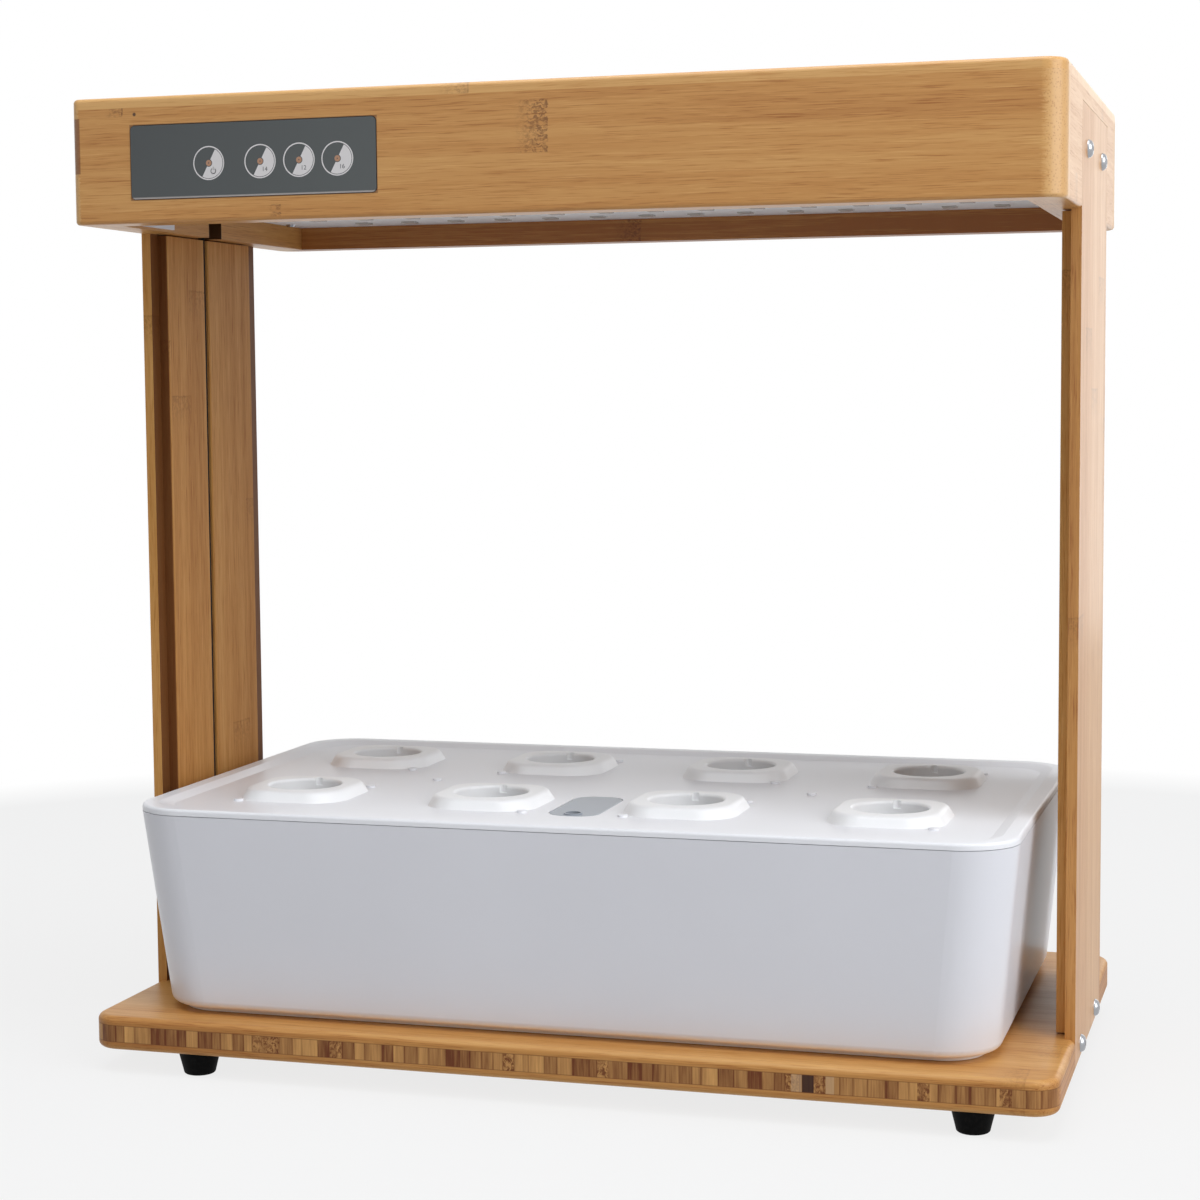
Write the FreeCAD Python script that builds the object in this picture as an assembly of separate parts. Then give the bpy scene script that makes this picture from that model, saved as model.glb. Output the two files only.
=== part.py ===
# Countertop hydroponic garden: a bamboo stand with a light box over a white tank with eight pods.
# Millimetres. X runs to the right, Y to the back, Z up from the counter. The origin is the middle
# of the stand on the counter, and the control panel faces -Y.
import FreeCAD, Part
import math
import os

os.makedirs("parts", exist_ok=True)
V = FreeCAD.Vector
SIDES = {"left": -1, "right": 1}

# Clearances
SEAT_GAP = 0.3          # under and around a piece that lifts off
JOINT_GAP = 0.15        # around a piece let into wood
SCREW_GAP = 0.1         # around a screw's shank

# Stand, overall
STAND_WIDTH = 450.0
BASE_DEPTH = 248.0
BASE_THICKNESS = 16.0
BASE_CORNER = 12.0
BASE_EDGE_ROUND = 3.0
LIGHT_BOX_BOTTOM = 395.0

# Feet
FOOT_HEIGHT = 11.0
FOOT_TOP_RADIUS = 9.9
FOOT_BOTTOM_RADIUS = 7.5
FOOT_EDGE_ROUND = 1.4
FOOT_RECESS_RADIUS = 3.9
FOOT_FLOOR = 3.6        # rubber left over the screw's head
FOOT_SCREW_RADIUS = 1.9
FOOT_SCREW_HEAD_RADIUS = 3.6
FOOT_SCREW_HEAD = 2.4
FOOT_SCREW_BITE = 9.0
FOOT_LEFT_X = -174.6
FOOT_RIGHT_X = 188.0
FOOT_INSET = 12.5       # from the board's front and back edges to the foot's middle

# Posts: one outer plank let into board and box, two inner planks with a lead channel between
PLANK_THICKNESS = 4.6
POST_FRONT = -52.0
POST_BACK = 68.0
INNER_FRONT_SETBACK = 8.0
INNER_BACK_SETBACK = 16.0
INNER_THICKNESS = 4.8
CHANNEL_MIDDLE = -0.25
CHANNEL_WIDTH = 4.5
INNER_TOP_GAP = 0.7
INNER_BOTTOM_GAP = 0.9
PLANK_EDGE_ROUND = 0.8
POST_TOP_COVER = 10.6   # box wood left over the outer plank's end

# Light box
BOX_DEPTH = 240.0
BOX_HEIGHT = 57.0
BOX_CORNER = 10.0
BOX_PANEL_CORNER = 4.0  # the front corner beside the control panel is worked less round
BOX_TOP_ROUND = 2.0
BOX_BOTTOM_ROUND = 1.6
BOX_FRONT_WALL = 16.0
BOX_SIDE_WALL = 17.0
TOP_PANEL = 5.0

# Frame screws, a pair at each end of each outer plank
SCREW_SPACING = 68.0
SCREW_HEAD_RADIUS = 4.1
SCREW_HEAD_HEIGHT = 2.3
SCREW_SHANK_RADIUS = 2.0
SCREW_REACH = 16.0
SCREW_SOCKET_RADIUS = 1.5
SCREW_SOCKET_DEPTH = 1.4
SCREW_ABOVE_BOX_BOTTOM = 27.6

# Control panel in the front board
PANEL_LEFT = -195.0
PANEL_WIDTH = 119.2
PANEL_ABOVE_BOX_BOTTOM = 10.8
PANEL_HEIGHT = 33.0
PANEL_THICKNESS = 2.4
PANEL_PROUD = 0.3
PANEL_CORNER = 2.0
PANEL_LEDGE = 3.5
BOARD_THICKNESS = 1.6
BOARD_STANDOFF = 5.0    # from the panel's back to the circuit board, the springs' length
TOUCH_KEYS = (38.6, 63.7, 82.5, 100.9)   # from the panel's left edge
TOUCH_KEY_HEIGHT = 15.2                  # above the panel's lower edge
SPRING_RADIUS = 3.0
CHIP_SIZE = 9.0
CHIP_HEIGHT = 1.8

# Light panel under the box
TRAY_RECESS = 11.6      # up from the box's bottom edge
TRAY_THICKNESS = 2.0
TRAY_GAP = 0.4
CLEAT_WIDTH = 12.0
CLEAT_HEIGHT = 14.0
CLEAT_END_GAP = 6.0
TRAY_SCREW_INSET = 28.0
TRAY_SCREW_RADIUS = 1.4
TRAY_SCREW_HEAD_RADIUS = 2.8
TRAY_SCREW_HEAD = 1.2
TRAY_SCREW_REACH = 9.0
LED_SIZE = 7.0
LED_HEIGHT = 0.8
LED_ROWS = 6
LED_COLUMNS = 14
LED_MARGIN_X = 34.0
LED_MARGIN_Y = 26.0

# Lead from the inlet to the circuit board, and the trim over it
LEAD_RADIUS = 1.6
LEAD_BEND = 2.8
LEAD_ENTRY = 8.0        # from the window's left end to the lead
LEAD_GROOVE = 4.2
NOTCH_FRONT = -12.0
NOTCH_BACK = 2.0
NOTCH_HEIGHT = 20.0
LEAD_ABOVE_TRAY = 2.6
WIRE_COVER_LENGTH = 51.0
WIRE_COVER_THICKNESS = 1.2
WIRE_COVER_BOTTOM = 1.3

# Inlet in the board's back edge
INLET_X = -196.0
INLET_FLANGE_RADIUS = 5.6
INLET_FLANGE = 1.2
INLET_BODY_RADIUS = 4.4
INLET_BODY_LENGTH = 13.0
INLET_BORE_RADIUS = 2.8
INLET_BORE_DEPTH = 9.5
INLET_PIN_RADIUS = 1.0

# Tank
TANK_TOP_WIDTH = 413.0
TANK_TOP_DEPTH = 243.0
TANK_BOTTOM_WIDTH = 395.0
TANK_BOTTOM_DEPTH = 224.0
TANK_MIDDLE_X = -1.0
TANK_MIDDLE_Y = 2.5
TANK_CORNER = 26.0
TANK_BOTTOM_ROUND = 4.0
TANK_WALL = 2.6
TANK_FLOOR = 2.8
TANK_TOP = 122.3
PLINTH_INSET = 2.8
PLINTH_HEIGHT = 2.3
PLINTH_WALL = 5.0

# Lid
LID_RIM = 3.1
LID_EDGE_ROUND = 1.4
LID_RECESS = 1.8
LID_PLATE = 2.4
LID_BORDER = 7.5
LID_STEP_WIDTH = 5.5
LID_SKIRT = 2.0
LID_SKIRT_DEPTH = 5.0
PIP_RADIUS = 2.3
PIP_HEIGHT = 1.0
PIP_OFFSET_X = 23.5
PIP_OFFSET_Y = 26.0

# Pods: four columns in two rows, numbered from the front left
POD_COLUMNS = 4
POD_ROWS = 2
POD_PITCH_X = 95.3
POD_PITCH_Y = 110.0
COLLAR_WIDTH = 54.0
COLLAR_TOP_WIDTH = 49.0
COLLAR_CORNER = 16.0
COLLAR_HEIGHT = 5.0
COLLAR_EDGE_ROUND = 3.0
COLLAR_LIP_ROUND = 1.4
POD_HOLE_RADIUS = 17.2
POD_NOTCH_RADIUS = 1.7
BASKET_FLANGE_RADIUS = 20.0
BASKET_FLANGE = 1.4
BASKET_BOTTOM_RADIUS = 13.0
BASKET_DEPTH = 44.0
BASKET_WALL = 1.2
BASKET_SLOTS = 8
BASKET_SLOT_WIDTH = 4.0
BASKET_SLOT_TOP = 14.0  # below the flange
BASKET_SLOT_BOTTOM = 5.0
BASKET_DRAIN_RADIUS = 5.0

# Filler cover between the second and third front pods
FILLER_WIDTH = 24.0
FILLER_LENGTH = 55.0
FILLER_SETBACK = 57.5   # from the middle of the tank to the middle of the cover
FILLER_CORNER = 9.0
FILLER_THICKNESS = 1.8
FILLER_BEVEL = 0.6
FILLER_LEDGE = 3.0
FINGER_HOLE_RADIUS = 3.5
FINGER_HOLE_INSET = 6.2
FINGER_RIM_WIDTH = 0.9
FINGER_RIM_HEIGHT = 0.6

# Heights and faces that several pieces share
BASE_BOTTOM = FOOT_HEIGHT
BASE_TOP = BASE_BOTTOM + BASE_THICKNESS
HALF_WIDTH = STAND_WIDTH / 2
PLANK_INNER_X = HALF_WIDTH - PLANK_THICKNESS
INNER_FACE_X = PLANK_INNER_X - INNER_THICKNESS
BOX_TOP = LIGHT_BOX_BOTTOM + BOX_HEIGHT
BOX_INNER_X = HALF_WIDTH - BOX_SIDE_WALL
BOX_INNER_Y = BOX_DEPTH / 2 - BOX_FRONT_WALL
WALL_TOP = BOX_TOP - TOP_PANEL
PLANK_TOP = BOX_TOP - POST_TOP_COVER
POST_MIDDLE = (POST_FRONT + POST_BACK) / 2
LOW_SCREW_Z = BASE_BOTTOM + BASE_THICKNESS / 2
HIGH_SCREW_Z = LIGHT_BOX_BOTTOM + SCREW_ABOVE_BOX_BOTTOM
TRAY_BOTTOM = LIGHT_BOX_BOTTOM + TRAY_RECESS
TRAY_TOP = TRAY_BOTTOM + TRAY_THICKNESS
CHANNEL_X = -(PLANK_INNER_X + INNER_FACE_X) / 2
PANEL_BOTTOM = LIGHT_BOX_BOTTOM + PANEL_ABOVE_BOX_BOTTOM
TOUCH_KEY_Z = PANEL_BOTTOM + TOUCH_KEY_HEIGHT
INLET_BACK_Y = BASE_DEPTH / 2 - INLET_FLANGE - INLET_BODY_LENGTH
LEAD_ENTRY_X = PANEL_LEFT + PANEL_LEDGE + LEAD_ENTRY
LEAD_TOP_Z = TRAY_TOP + LEAD_ABOVE_TRAY + LEAD_RADIUS
PANEL_MIDDLE_X = PANEL_LEFT + PANEL_WIDTH / 2
PANEL_MIDDLE_Z = PANEL_BOTTOM + PANEL_HEIGHT / 2
PANEL_BACK_Y = -BOX_DEPTH / 2 - PANEL_PROUD + PANEL_THICKNESS
CIRCUIT_FRONT_Y = PANEL_BACK_Y + BOARD_STANDOFF
TANK_BOTTOM = BASE_TOP + SEAT_GAP
LID_TOP = TANK_TOP + SEAT_GAP + LID_RIM
LID_FLOOR = LID_TOP - LID_RECESS
LID_UNDER = LID_FLOOR - LID_PLATE
TANK_SLOPE = (TANK_TOP_WIDTH - TANK_BOTTOM_WIDTH) / 2 / (TANK_TOP - TANK_BOTTOM - PLINTH_HEIGHT)
FILLER_SEAT = LID_FLOOR - FILLER_THICKNESS
FILLER_MIDDLE_Y = TANK_MIDDLE_Y - FILLER_SETBACK
TANK_MIDDLE = (TANK_MIDDLE_X, TANK_MIDDLE_Y)


def block(x0, x1, y0, y1, z0, z1):
    return Part.makeBox(abs(x1 - x0), abs(y1 - y0), z1 - z0, V(min(x0, x1), min(y0, y1), z0))


def rounded_outline(width, depth, corner, middle, z):
    # A rectangle with four quarter-circle corners, centred on middle. Corner is one radius, or four
    # that start at the back right and go round by the left.
    radii = corner if isinstance(corner, tuple) else (corner,) * 4
    hw, hd = width / 2, depth / 2
    edges = []
    for turn, radius in enumerate(radii):
        angle = math.pi / 2 * turn
        sx = 1 if turn in (0, 3) else -1
        sy = 1 if turn in (0, 1) else -1
        cx, cy = middle[0] + sx * (hw - radius), middle[1] + sy * (hd - radius)
        at = [V(cx + radius * math.cos(angle + a), cy + radius * math.sin(angle + a), z)
              for a in (0, math.pi / 4, math.pi / 2)]
        if edges:
            edges.append(Part.LineSegment(last, at[0]).toShape())
        else:
            first = at[0]
        edges.append(Part.Arc(*at).toShape())
        last = at[2]
    edges.append(Part.LineSegment(last, first).toShape())
    return Part.Wire(edges)


def rounded_slab(width, depth, corner, z0, z1, middle=(0, 0)):
    face = Part.Face(rounded_outline(width, depth, corner, middle, z0))
    return face.extrude(V(0, 0, z1 - z0))


def rounded_taper(low, high, z0, z1, middle=(0, 0)):
    # low and high are width, depth and corner at z0 and z1.
    wires = [rounded_outline(*low, middle, z0), rounded_outline(*high, middle, z1)]
    return Part.makeLoft(wires, True, True)


def level_edges(shape, z):
    # The edges that lie flat at height z.
    return [e for e in shape.Edges if abs(e.BoundBox.ZMin - z) < 0.01 and abs(e.BoundBox.ZMax - z) < 0.01]


def turned(points):
    # Points are radius and height, turned about the Z axis. A third value in a point bends the
    # line to it through that middle point.
    edges = []
    for a, b in zip(points, points[1:]):
        if len(b) == 3:
            middle = V(b[2][0], 0, b[2][1])
            edges.append(Part.Arc(V(a[0], 0, a[1]), middle, V(b[0], 0, b[1])).toShape())
        else:
            edges.append(Part.LineSegment(V(a[0], 0, a[1]), V(b[0], 0, b[1])).toShape())
    start, end = points[0], points[-1]
    edges.append(Part.LineSegment(V(end[0], 0, end[1]), V(start[0], 0, start[1])).toShape())
    return Part.Face(Part.Wire(edges)).revolve(V(0, 0, 0), V(0, 0, 1), 360)


def side_screw_places(z):
    # Middles of the two screws in one end of a post, as Y and Z.
    return [(POST_MIDDLE + k * SCREW_SPACING / 2, z) for k in (-1, 1)]


def screw_bore(side, y, z):
    # The hole along X for one frame screw, from the outer face inward.
    start = V(side * (HALF_WIDTH + 1), y, z)
    length = SCREW_REACH + 1 + SEAT_GAP
    return Part.makeCylinder(SCREW_SHANK_RADIUS + SCREW_GAP, length, start, V(-side, 0, 0))


def frame_screw(side, y, z):
    # A domed head with a hexagon socket over a plain shank, pointing inward.
    r, h = SCREW_HEAD_RADIUS, SCREW_HEAD_HEIGHT
    dome = (r * math.cos(math.pi / 4), h * 0.85)
    screw = turned([(0, -SCREW_REACH), (SCREW_SHANK_RADIUS, -SCREW_REACH), (SCREW_SHANK_RADIUS, 0),
                    (r, 0), (r * 0.45, h, dome), (0, h)])
    corners = [V(SCREW_SOCKET_RADIUS * math.cos(a * math.pi / 3),
                 SCREW_SOCKET_RADIUS * math.sin(a * math.pi / 3), h - SCREW_SOCKET_DEPTH) for a in range(7)]
    socket = Part.Face(Part.makePolygon(corners)).extrude(V(0, 0, SCREW_SOCKET_DEPTH + 1))
    screw = screw.cut(socket)
    screw.rotate(V(0, 0, 0), V(0, 1, 0), 90 * side)
    screw.translate(V(side * HALF_WIDTH, y, z))
    return screw


def foot_places():
    y = BASE_DEPTH / 2 - FOOT_INSET
    return {"front_left": (FOOT_LEFT_X, -y), "front_right": (FOOT_RIGHT_X, -y),
            "rear_left": (FOOT_LEFT_X, y), "rear_right": (FOOT_RIGHT_X, y)}


def foot(x, y):
    # Tapered rubber with a rounded tread, open below for its screw.
    r0, r1, e = FOOT_BOTTOM_RADIUS, FOOT_TOP_RADIUS, FOOT_EDGE_ROUND
    tread = (r0 - e + e * math.sin(math.pi / 4), e - e * math.cos(math.pi / 4))
    hole = FOOT_SCREW_RADIUS + SCREW_GAP
    body = turned([(FOOT_RECESS_RADIUS, 0), (r0 - e, 0), (r0, e, tread), (r1, FOOT_HEIGHT),
                   (hole, FOOT_HEIGHT), (hole, FOOT_HEIGHT - FOOT_FLOOR),
                   (FOOT_RECESS_RADIUS, FOOT_HEIGHT - FOOT_FLOOR)])
    body.translate(V(x, y, 0))
    return body


def foot_screw(x, y):
    seat = FOOT_HEIGHT - FOOT_FLOOR
    screw = turned([(0, seat - FOOT_SCREW_HEAD), (FOOT_SCREW_HEAD_RADIUS, seat - FOOT_SCREW_HEAD),
                    (FOOT_SCREW_HEAD_RADIUS, seat), (FOOT_SCREW_RADIUS, seat),
                    (FOOT_SCREW_RADIUS, FOOT_HEIGHT + FOOT_SCREW_BITE), (0, FOOT_HEIGHT + FOOT_SCREW_BITE)])
    screw.translate(V(x, y, 0))
    return screw


def base_blank():
    # The board's outline with all its edges rounded, before anything is cut.
    slab = rounded_slab(STAND_WIDTH, BASE_DEPTH, BASE_CORNER, BASE_BOTTOM, BASE_TOP)
    rims = level_edges(slab, BASE_BOTTOM) + level_edges(slab, BASE_TOP)
    return slab.makeFillet(BASE_EDGE_ROUND, rims)


def post_pocket(side, z0, z1):
    # The notch that an outer plank is let into.
    return block(side * PLANK_INNER_X, side * (HALF_WIDTH + 1), POST_FRONT - JOINT_GAP,
                 POST_BACK + JOINT_GAP, z0, z1)


def lead_groove():
    # Under the board from the inlet to the post, then up beside the outer plank.
    half = LEAD_GROOVE / 2
    low = BASE_BOTTOM - 1
    top = LOW_SCREW_Z + half
    along = block(INLET_X - half, INLET_X + half, CHANNEL_MIDDLE - half,
                  INLET_BACK_Y + 1, low, top)
    across = block(-PLANK_INNER_X, INLET_X + half, CHANNEL_MIDDLE - half, CHANNEL_MIDDLE + half, low, top)
    up = block(-PLANK_INNER_X, CHANNEL_X + half, CHANNEL_MIDDLE - half, CHANNEL_MIDDLE + half, low,
               BASE_TOP + 1)
    return along.fuse([across, up])


def inlet_bore():
    # A stepped hole for the socket and its flush flange.
    start = V(INLET_X, BASE_DEPTH / 2 + 1, LOW_SCREW_Z)
    flange = Part.makeCylinder(INLET_FLANGE_RADIUS + JOINT_GAP, INLET_FLANGE + 1, start, V(0, -1, 0))
    body = Part.makeCylinder(INLET_BODY_RADIUS + JOINT_GAP, BASE_DEPTH / 2 + 1 - INLET_BACK_Y, start, V(0, -1, 0))
    return flange.fuse(body)


def base_board():
    board = base_blank()
    cuts = [lead_groove(), inlet_bore()]
    for side in SIDES.values():
        cuts.append(post_pocket(side, BASE_BOTTOM - 1, BASE_TOP + 1))
        cuts += [screw_bore(side, y, z) for y, z in side_screw_places(LOW_SCREW_Z)]
    for x, y in foot_places().values():
        cuts.append(Part.makeCylinder(FOOT_SCREW_RADIUS + SCREW_GAP, FOOT_SCREW_BITE + SEAT_GAP,
                                      V(x, y, BASE_BOTTOM)))
    return board.cut(cuts)


def outer_plank(side):
    # Flush in the notches of board and box, and rounded with the board's lower edge.
    plank = block(side * PLANK_INNER_X, side * HALF_WIDTH, POST_FRONT, POST_BACK, BASE_BOTTOM,
                  PLANK_TOP - JOINT_GAP)
    low_edge = [e for e in level_edges(plank, BASE_BOTTOM)
                if abs(abs(e.BoundBox.Center.x) - HALF_WIDTH) < 0.01]
    plank = plank.makeFillet(BASE_EDGE_ROUND, low_edge)
    places = side_screw_places(LOW_SCREW_Z) + side_screw_places(HIGH_SCREW_Z)
    return plank.cut([screw_bore(side, y, z) for y, z in places])


def inner_plank(side, y0, y1):
    plank = block(side * INNER_FACE_X, side * PLANK_INNER_X, y0, y1, BASE_TOP + INNER_BOTTOM_GAP,
                  LIGHT_BOX_BOTTOM - INNER_TOP_GAP)
    upright = [e for e in plank.Edges if e.BoundBox.ZLength > BOX_HEIGHT
               and abs(abs(e.BoundBox.Center.x) - INNER_FACE_X) < 0.01]
    return plank.makeFillet(PLANK_EDGE_ROUND, upright)


def box_blank():
    # The light box as one rounded block, from which its boards and top are taken.
    corners = (BOX_CORNER, BOX_CORNER, BOX_PANEL_CORNER, BOX_CORNER)
    slab = rounded_slab(STAND_WIDTH, BOX_DEPTH, corners, LIGHT_BOX_BOTTOM, BOX_TOP)
    slab = slab.makeFillet(BOX_TOP_ROUND, level_edges(slab, BOX_TOP))
    return slab.makeFillet(BOX_BOTTOM_ROUND, level_edges(slab, LIGHT_BOX_BOTTOM))


def box_end_board(blank, side):
    # The whole front board (-1) or back board (1), which carries the side boards between them.
    return blank.common(block(-HALF_WIDTH, HALF_WIDTH, side * BOX_INNER_Y, side * BOX_DEPTH / 2,
                              LIGHT_BOX_BOTTOM, WALL_TOP))


def box_side_board(blank, side):
    board = blank.common(block(side * BOX_INNER_X, side * HALF_WIDTH, -BOX_INNER_Y, BOX_INNER_Y,
                               LIGHT_BOX_BOTTOM, WALL_TOP))
    cuts = [post_pocket(side, LIGHT_BOX_BOTTOM - 1, PLANK_TOP)]
    cuts += [screw_bore(side, y, z) for y, z in side_screw_places(HIGH_SCREW_Z)]
    if side < 0:
        cuts.append(block(-PLANK_INNER_X - 1, -BOX_INNER_X + 1, NOTCH_FRONT, NOTCH_BACK,
                          LIGHT_BOX_BOTTOM - 1, LIGHT_BOX_BOTTOM + NOTCH_HEIGHT))
    return board.cut(cuts)


def box_top(blank):
    return blank.common(block(-HALF_WIDTH, HALF_WIDTH, -BOX_DEPTH / 2, BOX_DEPTH / 2, WALL_TOP, BOX_TOP))


def upright_slab(width, height, corner, y0, y1, x, z):
    # A rounded rectangle facing -Y.
    slab = rounded_slab(width, height, corner, 0, y1 - y0)
    slab.rotate(V(0, 0, 0), V(1, 0, 0), 90)
    slab.translate(V(x, y1, z))
    return slab


def panel_pocket():
    # A rebate for the panel, and a window through the board for the circuit behind it.
    rebate = upright_slab(PANEL_WIDTH + 2 * SEAT_GAP, PANEL_HEIGHT + 2 * SEAT_GAP, PANEL_CORNER + SEAT_GAP,
                          -BOX_DEPTH / 2 - 1, PANEL_BACK_Y, PANEL_MIDDLE_X, PANEL_MIDDLE_Z)
    window = block(PANEL_LEFT + PANEL_LEDGE, PANEL_LEFT + PANEL_WIDTH - PANEL_LEDGE, PANEL_BACK_Y - 1,
                   -BOX_INNER_Y + 1, PANEL_BOTTOM + PANEL_LEDGE, PANEL_BOTTOM + PANEL_HEIGHT - PANEL_LEDGE)
    return rebate.fuse(window)


def control_panel():
    return upright_slab(PANEL_WIDTH, PANEL_HEIGHT, PANEL_CORNER, PANEL_BACK_Y - PANEL_THICKNESS,
                        PANEL_BACK_Y, PANEL_MIDDLE_X, PANEL_MIDDLE_Z)


def touch_key_places():
    return [PANEL_LEFT + x for x in TOUCH_KEYS]


def control_board():
    # The circuit board in the window, with its processor and driver chips on the back.
    x0 = PANEL_LEFT + PANEL_LEDGE + SEAT_GAP
    x1 = PANEL_LEFT + PANEL_WIDTH - PANEL_LEDGE - SEAT_GAP
    z0 = PANEL_BOTTOM + PANEL_LEDGE + SEAT_GAP
    z1 = PANEL_BOTTOM + PANEL_HEIGHT - PANEL_LEDGE - SEAT_GAP
    back = CIRCUIT_FRONT_Y + BOARD_THICKNESS
    board = block(x0, x1, CIRCUIT_FRONT_Y, back, z0, z1)
    chips = [block(x - CHIP_SIZE / 2, x + CHIP_SIZE / 2, back, back + CHIP_HEIGHT,
                   TOUCH_KEY_Z - CHIP_SIZE / 2, TOUCH_KEY_Z + CHIP_SIZE / 2) for x in touch_key_places()[::2]]
    return board.fuse(chips).removeSplitter()


def touch_spring(x):
    # The sprung contact of one touch key, between the panel's back and the circuit board.
    return Part.makeCylinder(SPRING_RADIUS, BOARD_STANDOFF - SEAT_GAP, V(x, PANEL_BACK_Y, TOUCH_KEY_Z),
                             V(0, 1, 0))


def mounting_cleat(side):
    # A wooden strip on the side board, which the light panel is screwed up to.
    reach = BOX_INNER_Y - CLEAT_END_GAP
    cleat = block(side * (BOX_INNER_X - CLEAT_WIDTH), side * BOX_INNER_X, -reach, reach, TRAY_TOP,
                  TRAY_TOP + CLEAT_HEIGHT)
    cuts = [tray_screw_hole(x, y) for x, y in tray_screw_places() if x * side > 0]
    if side < 0:
        cuts.append(block(-BOX_INNER_X - 1, -BOX_INNER_X + CLEAT_WIDTH + 1, NOTCH_FRONT, NOTCH_BACK,
                          TRAY_TOP - 1, LIGHT_BOX_BOTTOM + NOTCH_HEIGHT))
    return cleat.cut(cuts)


def tray_screw_places():
    x = BOX_INNER_X - CLEAT_WIDTH / 2
    y = BOX_INNER_Y - TRAY_SCREW_INSET
    return [(sx * x, sy * y) for sx in (-1, 1) for sy in (-1, 1)]


def tray_screw_hole(x, y):
    return Part.makeCylinder(TRAY_SCREW_RADIUS + SCREW_GAP, TRAY_THICKNESS + TRAY_SCREW_REACH + SEAT_GAP,
                             V(x, y, TRAY_BOTTOM))


def tray_screw(x, y):
    screw = turned([(0, -TRAY_SCREW_HEAD), (TRAY_SCREW_HEAD_RADIUS * 0.7, -TRAY_SCREW_HEAD),
                    (TRAY_SCREW_HEAD_RADIUS, 0), (TRAY_SCREW_RADIUS, 0),
                    (TRAY_SCREW_RADIUS, TRAY_THICKNESS + TRAY_SCREW_REACH), (0, TRAY_THICKNESS + TRAY_SCREW_REACH)])
    screw.translate(V(x, y, TRAY_BOTTOM))
    return screw


def light_panel():
    plate = block(-BOX_INNER_X + TRAY_GAP, BOX_INNER_X - TRAY_GAP, -BOX_INNER_Y + TRAY_GAP,
                  BOX_INNER_Y - TRAY_GAP, TRAY_BOTTOM, TRAY_TOP)
    return plate.cut([tray_screw_hole(x, y) for x, y in tray_screw_places()])


def led_places():
    # Staggered rows: every second row is moved by half a pitch.
    pitch_x = 2 * (BOX_INNER_X - LED_MARGIN_X) / (LED_COLUMNS - 0.5)
    pitch_y = 2 * (BOX_INNER_Y - LED_MARGIN_Y) / (LED_ROWS - 1)
    for row in range(LED_ROWS):
        for column in range(LED_COLUMNS):
            x = -BOX_INNER_X + LED_MARGIN_X + (column + (row % 2) / 2) * pitch_x
            yield x, -BOX_INNER_Y + LED_MARGIN_Y + row * pitch_y


def led(x, y):
    half = LED_SIZE / 2
    return block(x - half, x + half, y - half, y + half, TRAY_BOTTOM - LED_HEIGHT, TRAY_BOTTOM)


def wire_cover():
    # White trim low on the left wall, from the front board back, over the key wires.
    return block(-BOX_INNER_X, -BOX_INNER_X + WIRE_COVER_THICKNESS, -BOX_INNER_Y,
                 -BOX_INNER_Y + WIRE_COVER_LENGTH, LIGHT_BOX_BOTTOM + WIRE_COVER_BOTTOM,
                 TRAY_BOTTOM - SEAT_GAP)


def bent_path(points, bend):
    # Straight runs joined by quarter bends.
    edges = []
    here = points[0]
    for before, corner, after in zip(points, points[1:], points[2:]):
        a = (before - corner).normalize()
        b = (after - corner).normalize()
        start, end = corner + a * bend, corner + b * bend
        centre = corner + (a + b) * bend
        middle = centre + (corner - centre).normalize() * bend
        edges.append(Part.LineSegment(here, start).toShape())
        edges.append(Part.Arc(start, middle, end).toShape())
        here = end
    edges.append(Part.LineSegment(here, points[-1]).toShape())
    return Part.Wire(edges)


def power_lead():
    # From the inlet, along the groove, up the left post's channel, through the notch and over the
    # light panel to the circuit board.
    circuit_back = CIRCUIT_FRONT_Y + BOARD_THICKNESS
    start = V(INLET_X, INLET_BACK_Y, LOW_SCREW_Z)
    points = [start,
              V(INLET_X, CHANNEL_MIDDLE, LOW_SCREW_Z),
              V(CHANNEL_X, CHANNEL_MIDDLE, LOW_SCREW_Z),
              V(CHANNEL_X, CHANNEL_MIDDLE, LEAD_TOP_Z),
              V(LEAD_ENTRY_X, CHANNEL_MIDDLE, LEAD_TOP_Z),
              V(LEAD_ENTRY_X, circuit_back, LEAD_TOP_Z)]
    circle = Part.Wire(Part.makeCircle(LEAD_RADIUS, start, V(0, 1, 0)))
    return bent_path(points, LEAD_BEND).makePipeShell([circle], True, False)


def inlet():
    # A round low-voltage socket with its centre pin, facing back.
    r, b = INLET_BODY_RADIUS, INLET_BORE_RADIUS
    floor = INLET_FLANGE - INLET_BORE_DEPTH
    socket = turned([(0, -INLET_BODY_LENGTH), (r, -INLET_BODY_LENGTH), (r, 0), (INLET_FLANGE_RADIUS, 0),
                     (INLET_FLANGE_RADIUS, INLET_FLANGE), (b, INLET_FLANGE), (b, floor),
                     (INLET_PIN_RADIUS, floor), (INLET_PIN_RADIUS, 0), (0, 0)])
    socket.rotate(V(0, 0, 0), V(1, 0, 0), -90)
    socket.translate(V(INLET_X, BASE_DEPTH / 2 - INLET_FLANGE, LOW_SCREW_Z))
    return socket


def tank_outline(z, inset=0.0):
    # Width, depth and corner of the drafted wall at height z, moved inward by inset.
    share = (z - TANK_BOTTOM - PLINTH_HEIGHT) / (TANK_TOP - TANK_BOTTOM - PLINTH_HEIGHT)
    width = TANK_BOTTOM_WIDTH + share * (TANK_TOP_WIDTH - TANK_BOTTOM_WIDTH)
    depth = TANK_BOTTOM_DEPTH + share * (TANK_TOP_DEPTH - TANK_BOTTOM_DEPTH)
    return width - 2 * inset, depth - 2 * inset, TANK_CORNER - inset


def tank_taper(z0, z1, inset=0.0):
    return rounded_taper(tank_outline(z0, inset), tank_outline(z1, inset), z0, z1, TANK_MIDDLE)


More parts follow.
